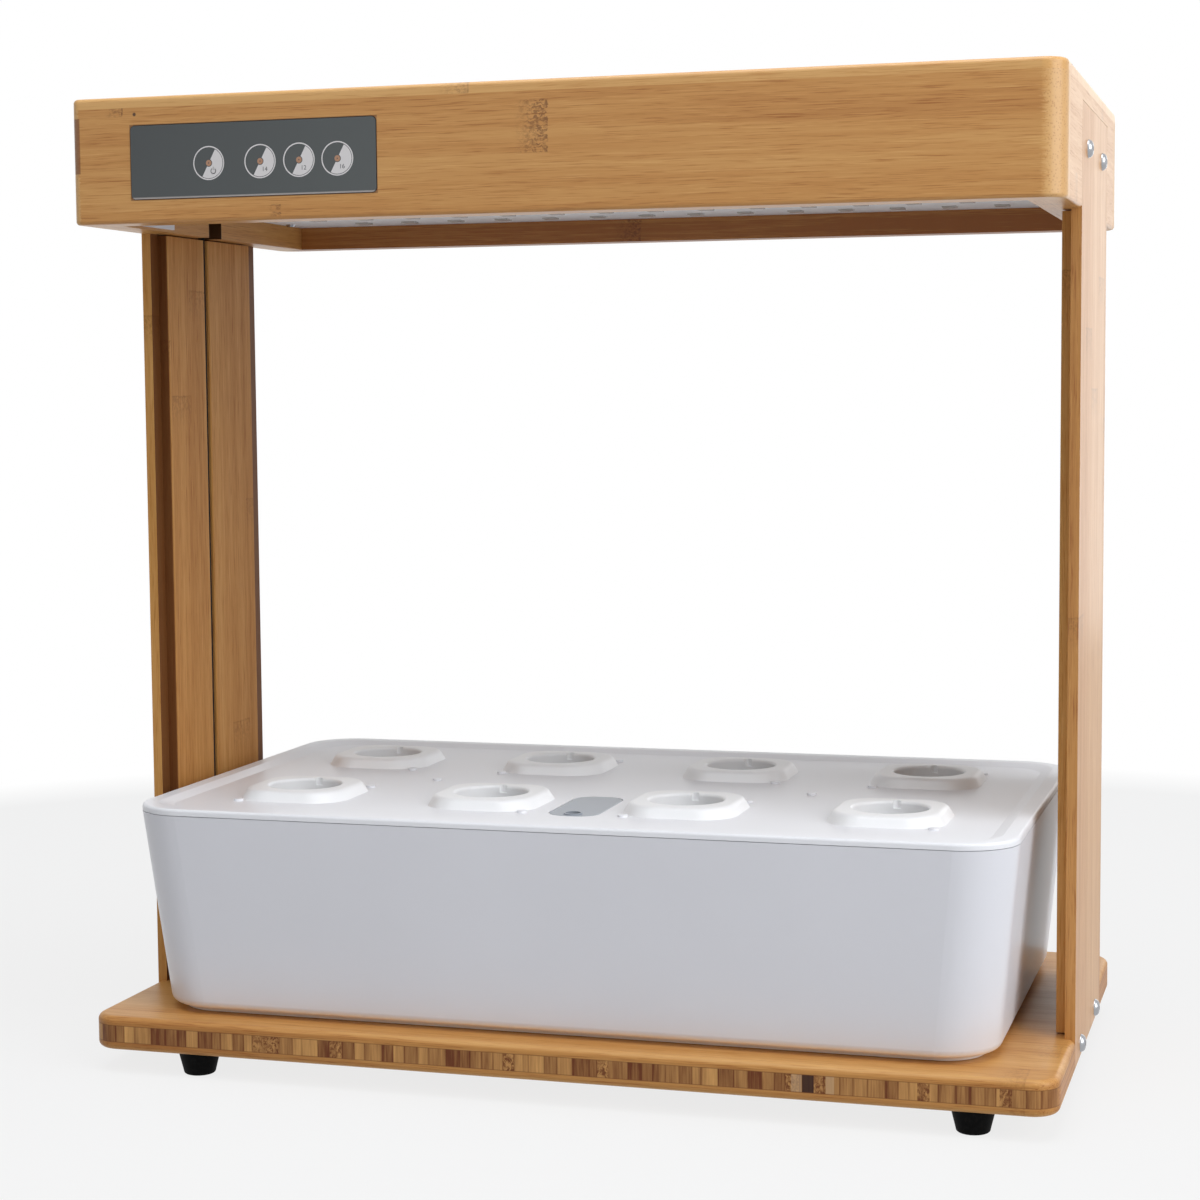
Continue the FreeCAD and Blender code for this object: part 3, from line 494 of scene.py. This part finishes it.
def wood(name, along, across, seed, width=STRIP_WIDTH, pitch=JOINT_PITCH, shift=0.0, offset=0.0,
         ends=None, places=(), extra=None, sheen=LACQUER_SHEEN):
    """Strip bamboo under clear lacquer, with its fibres along one axis."""
    paint = Paint(name, IOR=LACQUER_IOR, Specular_IOR_Level=sheen)
    place = paint.place()
    depth_axis = ({0, 1, 2} - {AXIS[along], AXIS[across]}).pop()
    s, t, d = place[AXIS[along]], place[AXIS[across]], place[depth_axis]
    strip = ((t + offset) / width).floor()
    own = strip_tone(paint, strip, seed * 3.1, shift)
    tone = (grain_tone(paint, s, t, d, seed) + own).clamped()
    colour = cane_colour(paint, tone)
    if places:
        knot = placed_knots(paint, s, t, d, places)
    else:
        knot = knot_band(paint, s, t, d, strip, seed, pitch)
    colour = paint.mix(knot * (0.70 if places else 0.45), colour, KNOT_BROWN)
    if ends is not None:
        colour = end_grain(paint, s, t, d, ends, colour)
    if extra is not None:
        colour = extra(paint, place, colour)
    paint.feed("Base Color", colour)
    paint.feed("Roughness", tone * GRAIN_ROUGHNESS + (0.50 - 0.40 * sheen))
    paint.bump(tone + knot * 0.6, *GRAIN_BUMP)
    return paint.material


def front_board_marks(paint, place, colour):
    """A dark strip's end at the left corner, and a small nail hole above the panel."""
    x, y, z = place
    tongue = x.step(*TONGUE_RIGHT) * z.step(*TONGUE_LOW) * z.step(*TONGUE_HIGH)
    colour = paint.mix(tongue * 0.75, colour, TONGUE_BROWN)
    across = x + NAIL_LEFT
    up = z - NAIL_Z
    reach = (across * across + up * up).root()
    return paint.mix(reach.step(*NAIL_EDGE) * 0.9, colour, HOLE_BROWN)


def panel_seat(paint, place, colour):
    """A thin line of painted shade in the gap round the panel's seat, with the board's own marks.
    """
    x, y, z = place
    out_x = abs(x - (PANEL_LOW.x + PANEL_HIGH.x) / 2) - (PANEL_HIGH.x - PANEL_LOW.x) / 2
    out_z = abs(z - (PANEL_LOW.z + PANEL_HIGH.z) / 2) - (PANEL_HIGH.z - PANEL_LOW.z) / 2
    # painted shade line round the seat
    line = out_x.largest(out_z).step(*SEAT_SHADE_EDGE)
    return front_board_marks(paint, place, paint.mix(line * 0.65, colour, SEAT_SHADE_BROWN))


def painted_shade_front_edge(paint, place, colour):
    """Painted shade on the face turned to the front, for the recess between the left post's planks.
    """
    front = paint.facing()[1].step(-0.5, -0.9)
    return paint.mix(front * 0.85, colour, RECESS_SHADE_BROWN)


def painted_shade_inner_face(paint, place, colour):
    """Painted shade on the left outer plank's inner face, which shows as a dark strip before the
    inner plank.
    """
    inner = paint.facing()[0].step(0.5, 0.9)
    return paint.mix(inner * 0.85, colour, RECESS_SHADE_BROWN)


def notch_shade(paint, place, colour):
    """The lead's notch above the post, deep in shade."""
    inside = place[1].step(*NOTCH_FRONT) * place[1].step(*NOTCH_BACK)
    return paint.mix(inside * place[2].step(*NOTCH_TOP) * 0.92, colour, NOTCH_BROWN)


def core_blocks(paint, x, y, z):
    """Short blocks seen end on: uneven widths, each with its own tone, fine upright ribs and a thin
    dark joint between it and the next. Some knotted, dark and ashen ones have their own places."""
    line = x * BLOCK_SCALE
    shade = paint.cells(line)
    joint = paint.to_cell_edge(line).step(*BLOCK_JOINT)
    fine, upright = RIB_SCALE
    rib = paint.noise(paint.vector(x * fine, y * fine, z * upright), **FINE)
    fine, upright = DRIFT_SCALE
    drift = paint.noise(paint.vector(x * fine, 0.0, z * upright))
    level = shade * 0.80 + rib.spread() * 0.30 + drift.spread() * 0.36 + joint * 0.25 - 0.16
    level = level.clamped()
    colour = paint.mix(level, CORE_PALE, CORE_DEEP)
    curl = dashes(paint, z, x, y)
    knotted = shade.step(*KNOTTED_CHANCE)
    for middle in KNOTTED_BLOCKS:
        knotted = knotted.largest(abs(x - middle).step(*KNOTTED_HALF))
    colour = paint.mix(knotted * (curl * 0.7 + 0.25), colour, CORE_DEEP)
    dark = abs(x - DARK_BLOCK).step(*DARK_BLOCK_HALF)
    colour = paint.mix(dark * 0.92, colour, CORE_DARK)
    wide, narrow = (abs(x - middle).step(out, full) for middle, out, full in ASHEN_BLOCKS)
    return paint.mix((wide + narrow) * 0.55, colour, CORE_ASHEN), level


def laminated_board():
    """The base: long-grain plies above and below a core of short blocks laid front to back."""
    paint = Paint("three_ply_bamboo", IOR=LACQUER_IOR, Specular_IOR_Level=BASE_SHEEN)
    x, y, z = paint.place()
    seed = 5.0
    strip = (y / INNER_STRIP).floor()
    side = abs(paint.facing()[2]).step(0.6, 0.3)
    own = strip_tone(paint, strip, 9.0, -0.10)
    tone = (grain_tone(paint, x, y, z, seed) + own + side * 0.24).clamped()
    ply = cane_colour(paint, tone)
    knot = knot_band(paint, x, y, z, strip, seed, BASE_PITCH)
    ply = paint.mix(knot * 0.30, ply, KNOT_BROWN)
    low = z.step(BASE_LOW.z + PLY - PLY_BLUR, BASE_LOW.z + PLY + PLY_BLUR)
    high = z.step(BASE_HIGH.z - PLY + PLY_BLUR, BASE_HIGH.z - PLY - PLY_BLUR)
    core = low * high
    end_on = abs(paint.facing()[1]).step(0.20, 0.45)
    blocks, level = core_blocks(paint, x, y, z)
    across, along, up = LONG_CORE_SCALE
    runs = paint.noise(paint.vector(x * across, y * along, z * up), **FINE)
    long_core = paint.mix(runs.spread(), WARM_STRIP, DEEP_STRIP)
    colour = paint.mix(core, ply, paint.mix(end_on, long_core, blocks))
    glue = abs(z - (BASE_LOW.z + BASE_HIGH.z) / 2) - ((BASE_HIGH.z - BASE_LOW.z) / 2 - PLY)
    colour = paint.mix(abs(glue).step(*GLUE_HALF) * 0.5, colour, KNOT_BROWN)
    paint.feed("Base Color", colour)
    paint.feed("Roughness", tone * GRAIN_ROUGHNESS + BASE_ROUGHNESS)
    paint.bump(tone + core * level * 0.5, *GRAIN_BUMP)
    return paint.material


def moulded(name, colour, roughness, grain=0.02, foot=None):
    """Moulded plastic: one colour with the faintest cloud and orange peel. foot is the height of
    the piece's lowest edge, where a paler rim of painted reflected light from the board starts."""
    paint = Paint(name, IOR=PLASTIC_IOR)
    x, y, z = paint.place()
    where = paint.vector(x, y, z)
    cloud = paint.noise(where, CLOUD_SCALE)
    darker = tuple(c * CLOUD_DARKER for c in colour)
    tint = paint.mix(cloud.spread(), colour, darker)
    if foot is not None:
        # painted highlight: a paler band at the foot for light reflected from the board
        tint = paint.mix(z.step(foot + RIM_TOP, foot + RIM_FULL) * 0.9, tint, RIM_PAINTED_BOUNCE)
    paint.feed("Base Color", tint)
    paint.feed("Roughness", cloud * CLOUD_ROUGHNESS + (roughness - CLOUD_ROUGHNESS / 2))
    paint.bump(paint.noise(where, PEEL_SCALE), grain, PEEL_DEPTH)
    return paint.material


def rubber(name, colour):
    """Matt rubber with a little dust."""
    paint = Paint(name, IOR=1.5, Specular_IOR_Level=0.05)
    x, y, z = paint.place()
    where = paint.vector(x, y, z)
    dust = paint.noise(where, 500.0, **FINE)
    lighter = tuple(c * 1.9 + 0.004 for c in colour)
    paint.feed("Base Color", paint.mix(dust.step(0.45, 0.75), colour, lighter))
    paint.feed("Roughness", dust * 0.2 + 0.5)
    paint.bump(dust, 0.15, 0.0002)
    return paint.material


def metal(name, colour, roughness):
    """Bright metal with a fine haze."""
    paint = Paint(name, Metallic=1.0)
    x, y, z = paint.place()
    haze = paint.noise(paint.vector(x, y, z), 700.0, **FINE)
    paint.feed("Base Color", paint.mix(haze, colour, tuple(c * 0.9 for c in colour)))
    paint.feed("Roughness", haze * 0.10 + roughness)
    return paint.material


def panel_face():
    """Smoked grey panel with a painted sheen that lightens it to the right and downwards, and a
    painted highlight along its lower edge.
    """
    paint = Paint("smoked_panel", Roughness=0.22, IOR=PLASTIC_IOR, Specular_IOR_Level=0.4)
    x, y, z = paint.place()
    # painted sheen: lighter to the right and downwards
    sheen = x.step(PANEL_LOW.x, PANEL_HIGH.x) * 0.6 + z.step(PANEL_HIGH.z, PANEL_LOW.z) * 0.2
    colour = paint.mix(sheen.clamped(), PANEL_DARK, PANEL_PAINTED_SHEEN)
    # painted highlight along the lower edge
    rim = z.step(PANEL_LOW.z + 0.0009, PANEL_LOW.z + 0.0005)
    colour = paint.mix(rim * 0.85, colour, PANEL_EDGE_HIGHLIGHT)
    paint.feed("Base Color", colour)
    paint.bump(paint.noise(paint.vector(x, y, z), 900.0), 0.01, PEEL_DEPTH)
    return paint.material


def light_plate():
    """White plate with a faint cloud."""
    paint = Paint("light_plate_white", IOR=1.45)
    x, y, z = paint.place()
    cloud = paint.noise(paint.vector(x, y, z), 30.0, 3.0)
    paint.feed("Base Color", paint.mix(cloud, PLATE_PALE, PLATE_CLOUD))
    paint.feed("Roughness", cloud * 0.2 + 0.35)
    return paint.material


def finish_nodes():
    """Gives every carried-over node its own finish."""
    white = moulded("white_plastic", PLASTIC_WHITE, 0.30)
    # the tank gets the painted highlight band at its foot
    tank_white = moulded("tank_plastic", PLASTIC_WHITE, 0.30, foot=TANK_LOW.z)
    lid_white = moulded("lid_plastic", LID_WHITE, 0.34)
    cup = moulded("cup_plastic", CUP_WHITE, 0.38)
    grey = moulded("filler_grey_plastic", FILLER_GREY, 0.36, 0.05)
    black = rubber("black_rubber", FOOT_BLACK)
    steel = metal("polished_steel", STEEL, 0.18)
    finishes = {
        "base_board": laminated_board(),
        "box_front_board": wood("front_board_bamboo", "x", "z", 1.0, ends=FRONT_BOARD_ENDS,
                                offset=BOARD_OFFSET, places=FRONT_KNUCKLES, extra=panel_seat),
        # the back board's deeper tone (shift) is painted shade for its inside under the box
        "box_back_board": wood("back_board_bamboo", "x", "z", 2.0, ends=BACK_BOARD_ENDS,
                               offset=BOARD_OFFSET, places=BACK_KNUCKLES, shift=0.45),
        "box_left_board": wood("left_board_bamboo", "y", "z", 3.0, pitch=SIDE_PITCH,
                               extra=notch_shade),
        "box_right_board": wood("right_board_bamboo", "y", "z", 4.0, pitch=SIDE_PITCH,
                                shift=-0.1),
        "box_top_panel": wood("top_panel_bamboo", "x", "y", 6.0, TOP_STRIP, TOP_PITCH,
                              shift=-0.42),
        "control_panel": panel_face(),
        "control_board": moulded("circuit_green", CIRCUIT_GREEN, 0.4),
        "touch_springs": metal("spring_brass", BRASS, 0.25),
        "light_panel": light_plate(),
        "led_chips": moulded("lamp_lens", LENS_GREY, 0.25),
        "wire_cover": white,
        "power_lead": rubber("lead_jacket", LEAD_BLACK),
        "power_inlet": moulded("inlet_black", INLET_BLACK, 0.3),
        "tank": tank_white,
        "tank_lid": lid_white,
        "filler_cover": grey,
    }
    for number, side in enumerate(("left", "right")):
        left = side == "left"
        # the left post plank's inner face gets painted shade
        finishes[f"post_plank_{side}"] = wood(
            f"{side}_post_bamboo", "z", "y", 7.0 + number, POST_STRIP, POST_PITCH,
            sheen=DULL_SHEEN if left else LACQUER_SHEEN, extra=painted_shade_inner_face if left else None)
        finishes[f"panel_cleat_{side}"] = wood(
            f"{side}_cleat_bamboo", "y", "z", 15.0 + number, shift=0.15, extra=notch_shade)
        for count, end in enumerate(("front", "back")):
            # the left front inner plank's front edge gets painted shade
            edge = painted_shade_front_edge if left and end == "front" else None
            finishes[f"inner_plank_{side}_{end}"] = wood(
                f"{side}_{end}_plank_bamboo", "z", "y", 10.0 + 2 * number + count, INNER_STRIP,
                POST_PITCH, sheen=DULL_SHEEN, shift=0.12 if left else -0.1, extra=edge)
    for name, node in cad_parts.items():
        if name in finishes:
            material = finishes[name]
        elif "screws" in name:
            material = steel
        elif name.startswith("foot_"):
            material = black
        else:
            material = cup
        node.data.materials.clear()
        node.data.materials.append(material)


def surface(name, points, closed_v=False):
    """A flat-shaded mesh from a grid of points, rows by columns, joined round where it closes."""
    rows, columns = points.shape[:2]
    i = np.arange(rows - 1)[:, None]
    j = np.arange(columns if closed_v else columns - 1)[None, :]
    i1, j1 = i + 1, (j + 1) % columns
    quads = np.stack([i * columns + j, i1 * columns + j, i1 * columns + j1, i * columns + j1], -1)
    mesh = bpy.data.meshes.new(name)
    mesh.from_pydata(points.reshape(-1, 3).tolist(), [], quads.reshape(-1, 4).tolist())
    mesh.polygons.foreach_set("use_smooth", np.full(len(mesh.polygons), False))
    mesh.update()
    piece = bpy.data.objects.new(name, mesh)
    bpy.context.scene.collection.objects.link(piece)
    return piece


def printed_band(name, centre, inner, outer, start, end, material):
    """A flat printed band on the panel: radius from inner to outer, angle from start to end."""
    turn = abs(end - start)
    whole = turn >= WHOLE_TURN
    steps = max(BAND_STEPS_LEAST, int(turn / BAND_STEP))
    angle = np.radians(np.linspace(start, end, steps + 1))[:-1 if whole else None]
    radius = np.array([inner, outer])[:, None]
    x = centre[0] + radius * np.cos(angle)
    z = centre[1] + radius * np.sin(angle)
    y = np.full_like(x, PANEL_LOW.y - PRINT_LIFT)
    piece = surface(name, np.stack([x, y, z], -1), closed_v=whole)
    piece.data.materials.append(material)
    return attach(piece, "stand")


def printed_word(name, words, centre, height, material):
    """Plain numbers or a bar on a key, as a flat mesh."""
    curve = bpy.data.curves.new(name, "FONT")
    curve.body = words
    curve.size = height
    curve.align_x = "CENTER"
    curve.align_y = "CENTER"
    holder = bpy.data.objects.new(name + "_curve", curve)
    bpy.context.scene.collection.objects.link(holder)
    bpy.context.view_layer.update()
    flat = holder.evaluated_get(bpy.context.evaluated_depsgraph_get())
    mesh = bpy.data.meshes.new_from_object(flat)
    bpy.data.objects.remove(holder)
    turn = Matrix.Rotation(math.radians(90), 4, "X")
    mesh.transform(Matrix.Translation((centre[0], PANEL_LOW.y - 2 * PRINT_LIFT, centre[1])) @ turn)
    mesh.materials.clear()
    mesh.materials.append(material)
    piece = bpy.data.objects.new(name, mesh)
    bpy.context.scene.collection.objects.link(piece)
    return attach(piece, "stand")


def touch_keys():
    """Rings with a pale half, a hub and a plain mark: power on the first, hours on the others."""
    pale = moulded("key_print_white", PRINT_PALE, 0.4)
    dark = moulded("key_print_grey", PRINT_DARK, 0.4)
    hub = moulded("key_hub_copper", COPPER, 0.35)
    for number, (x, hours) in enumerate(zip(KEY_X, KEY_HOURS)):
        centre = (x, KEY_Z)
        printed_band(f"key_ring_{number}", centre, KEY_RADIUS - KEY_LINE, KEY_RADIUS, 0, WHOLE_TURN,
                     pale)
        printed_band(f"key_half_{number}", centre, KEY_HUB, KEY_SECTOR, KEY_TILT - 180, KEY_TILT,
                     pale)
        printed_band(f"key_hub_{number}", centre, HUB_PINHOLE, HUB_COPPER, 0, WHOLE_TURN, hub)
        mark = (x + MARK_RIGHT, KEY_Z - MARK_DOWN)
        if hours:
            printed_word(f"key_hours_{number}", hours, mark, HOURS_HEIGHT, dark)
        else:
            printed_band("power_mark_arc", mark, POWER_ARC_INNER, POWER_ARC_OUTER, POWER_ARC_START,
                         POWER_ARC_END, dark)
            bar = (mark[0], mark[1] + POWER_BAR_RISE)
            printed_word("power_mark_bar", "I", bar, POWER_BAR_HEIGHT, dark)


def area_light(name, place, aim, width, height, watts):
    """A soft rectangular light that looks from its place at its aim."""
    lamp = bpy.data.lights.new(name, "AREA")
    lamp.shape = "RECTANGLE"
    lamp.size = width
    lamp.size_y = height
    lamp.energy = watts
    lamp.color = DAYLIGHT
    holder = bpy.data.objects.new(name, lamp)
    bpy.context.scene.collection.objects.link(holder)
    holder.location = place
    holder.rotation_euler = (Vector(aim) - Vector(place)).to_track_quat("-Z", "Y").to_euler()


def white_world():
    """An even pale sky that lights softly, and plain white where it is seen or mirrored."""
    world = bpy.data.worlds.new("white_room")
    bpy.context.scene.world = world
    world.use_nodes = True
    world.node_tree.nodes.clear()
    sky = Nodes(world.node_tree)
    soft = sky.node("ShaderNodeBackground", {}, WHITE, WORLD_LEVEL)(0)
    plain = sky.node("ShaderNodeBackground", {}, WHITE)(0)
    rays = sky.node("ShaderNodeLightPath", {})
    seen = rays("Is Camera Ray").largest(rays("Is Glossy Ray"))
    seen = seen.largest(rays("Is Transmission Ray"))
    mixed = sky.node("ShaderNodeMixShader", {}, seen, soft, plain)(0)
    sky.node("ShaderNodeOutputWorld", {}, mixed)


def floor_disc():
    """A pale round floor that fades into the white backdrop away from the object."""
    radius = np.array(FLOOR_RINGS)[:, None]
    angle = np.linspace(0, 2 * np.pi, FLOOR_SPOKES + 1)[None, :-1]
    x, y = radius * np.cos(angle), radius * np.sin(angle)
    disc = surface("floor", np.stack([x, y, np.zeros_like(x)], -1), closed_v=True)
    paint = Paint("pale_floor", Roughness=0.9, Specular_IOR_Level=0.1)
    paint.shader.inputs["Base Color"].default_value = FLOOR_GREY
    x, y, z = paint.place()
    far = (x * x + y * y).root().step(*FLOOR_FADE)
    rays = paint.node("ShaderNodeLightPath", {})
    seen = rays("Is Camera Ray").largest(rays("Is Glossy Ray"))
    glow = paint.node("ShaderNodeEmission", {}, Strength=1.0)("Emission")
    lit = Value(paint, paint.shader.outputs[0])
    share = (seen * FLOOR_GLOW).largest(seen * far)
    mixed = paint.node("ShaderNodeMixShader", {}, share, lit, glow)(0)
    out = next(n for n in paint.tree.nodes if n.type == "OUTPUT_MATERIAL")
    paint.fill(out.inputs[0], mixed)
    disc.data.materials.append(paint.material)


def photo_camera():
    """The photograph's viewpoint, from its place, heading, dip and roll."""
    lens = bpy.data.cameras.new("photo_camera")
    lens.sensor_width = SENSOR_MM
    lens.lens = FOCAL_PIXELS / PHOTO_PIXELS * SENSOR_MM
    camera = bpy.data.objects.new("photo_camera", lens)
    bpy.context.scene.collection.objects.link(camera)
    heading = Matrix.Rotation(math.radians(CAMERA_HEADING), 4, "Z")
    dip = Matrix.Rotation(math.radians(90 - CAMERA_DIP), 4, "X")
    roll = Matrix.Rotation(math.radians(CAMERA_ROLL), 4, "Z")
    camera.matrix_world = Matrix.Translation(CAMERA_PLACE) @ heading @ dip @ roll
    bpy.context.scene.camera = camera


finish_nodes()
touch_keys()
for light, figures in LIGHTS.items():
    area_light(light, *figures)
white_world()
floor_disc()
photo_camera()
bpy.context.scene.view_settings.view_transform = "Standard"
